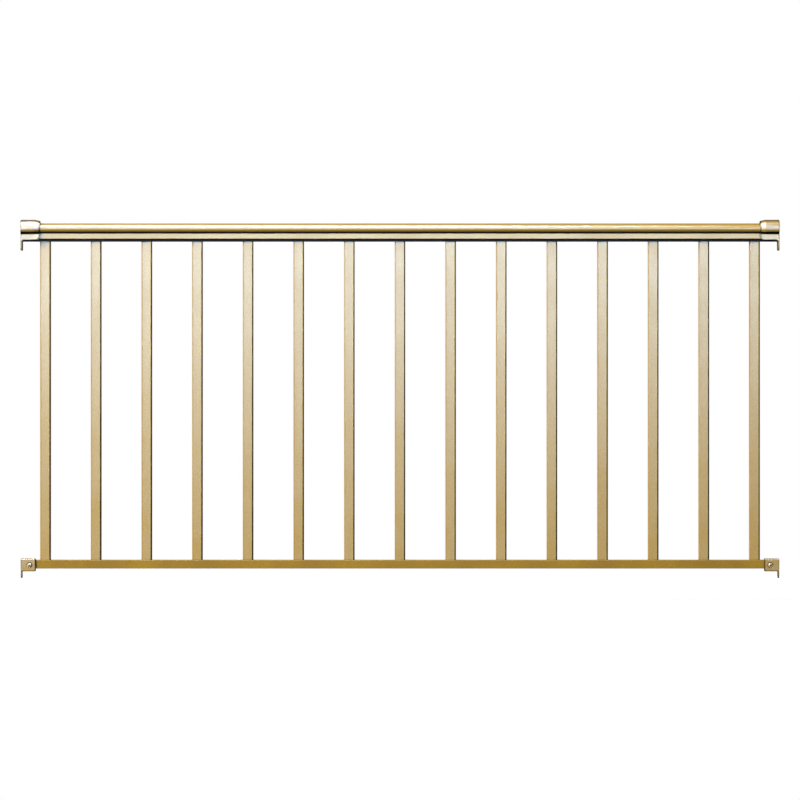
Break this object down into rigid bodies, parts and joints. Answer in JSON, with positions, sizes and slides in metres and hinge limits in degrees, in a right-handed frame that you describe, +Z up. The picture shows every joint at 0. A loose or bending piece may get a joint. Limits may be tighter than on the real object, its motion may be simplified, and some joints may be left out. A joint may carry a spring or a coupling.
{
  "type": "deck railing section",
  "caption": "Straight deck railing section with a domed handrail, square balusters in punched channels and end brackets that screw to the posts.",
  "frame": {"origin": "outer face of the left bottom bracket's flange, on the bottom channel's axis", "axes": "+X along the rail to the right post, +Z up, the front faces -Y"},
  "size_m": [1.829, 0.0686, 0.8639],
  "materials": {
    "rail_paint": "satin bronze-gold metallic powder coat",
    "reveal_black": "matt black powder coat",
    "baluster_paint": "satin bronze-gold metallic powder coat",
    "bracket_paint": "satin bronze-gold metallic powder coat on a casting"
  },
  "bodies": {
    "root": {"handrail": "rail_paint", "bottom_channel": "rail_paint", "top_channel": "reveal_black", "baluster_01": "baluster_paint", "baluster_02": "baluster_paint", "baluster_03": "baluster_paint", "baluster_04": "baluster_paint", "baluster_05": "baluster_paint", "baluster_06": "baluster_paint", "baluster_07": "baluster_paint", "baluster_08": "baluster_paint", "baluster_09": "baluster_paint", "baluster_10": "baluster_paint", "baluster_11": "baluster_paint", "baluster_12": "baluster_paint", "baluster_13": "baluster_paint", "baluster_14": "baluster_paint", "baluster_15": "baluster_paint", "top_left_bracket": "bracket_paint", "bottom_left_bracket": "bracket_paint", "top_right_bracket": "bracket_paint", "bottom_right_bracket": "bracket_paint"}
  },
  "joints": []
}
